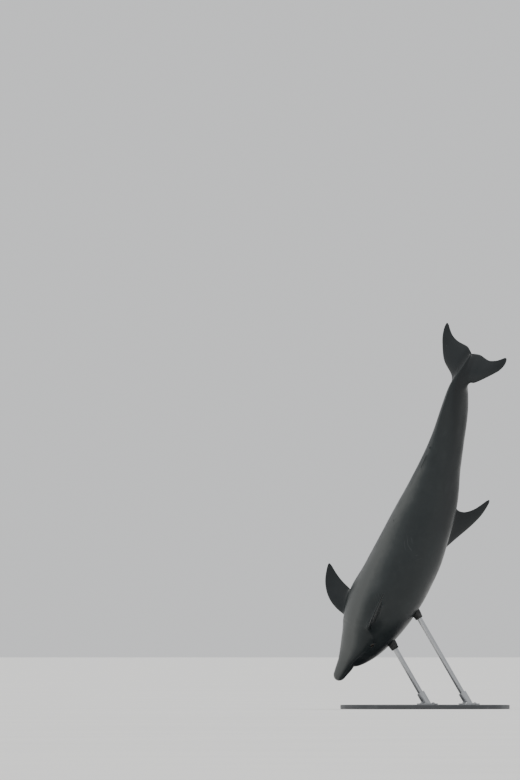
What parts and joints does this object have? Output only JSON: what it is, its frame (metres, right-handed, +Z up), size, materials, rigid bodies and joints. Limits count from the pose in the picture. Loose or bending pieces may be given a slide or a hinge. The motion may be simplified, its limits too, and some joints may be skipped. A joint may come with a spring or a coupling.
{
  "type": "bottlenose dolphin display model",
  "caption": "Life-size still model of a bottlenose dolphin diving head down, held by leaning steel rods on a round flat base.",
  "frame": {"origin": "centre of the round base's underside, on the surface that the stand rests on", "axes": "+Z up; the animal lies in the XZ plane with its snout towards -X and down, its tail up, its back towards +X and its right side towards -Y"},
  "size_m": [1.3169, 1.2, 2.743],
  "materials": {
    "skin": "wet satin skin, dark slate back, mid grey flanks and pale belly",
    "eye": "glossy, very dark brown",
    "base_paint": "charcoal satin paint on board",
    "steel": "brushed stainless steel",
    "rubber": "matt black rubber"
  },
  "bodies": {
    "root": {"upper_beak": "skin", "lower_jaw": "skin", "head": "skin", "blowhole": "skin", "eye_right": "eye", "eye_left": "eye", "chest": "skin", "belly": "skin", "loin": "skin", "tail_stock": "skin", "fluke_base": "skin", "fluke_right": "skin", "fluke_left": "skin", "dorsal_fin": "skin", "flipper_right": "skin", "flipper_left": "skin", "stand_base": "base_paint", "stand_flange_front": "steel", "stand_rod_front": "steel", "stand_collar_front": "rubber", "stand_bolt_front_1": "steel", "stand_bolt_front_2": "steel", "stand_bolt_front_3": "steel", "stand_bolt_front_4": "steel", "stand_flange_rear": "steel", "stand_rod_rear": "steel", "stand_collar_rear": "rubber", "stand_bolt_rear_1": "steel", "stand_bolt_rear_2": "steel", "stand_bolt_rear_3": "steel", "stand_bolt_rear_4": "steel"}
  },
  "joints": []
}
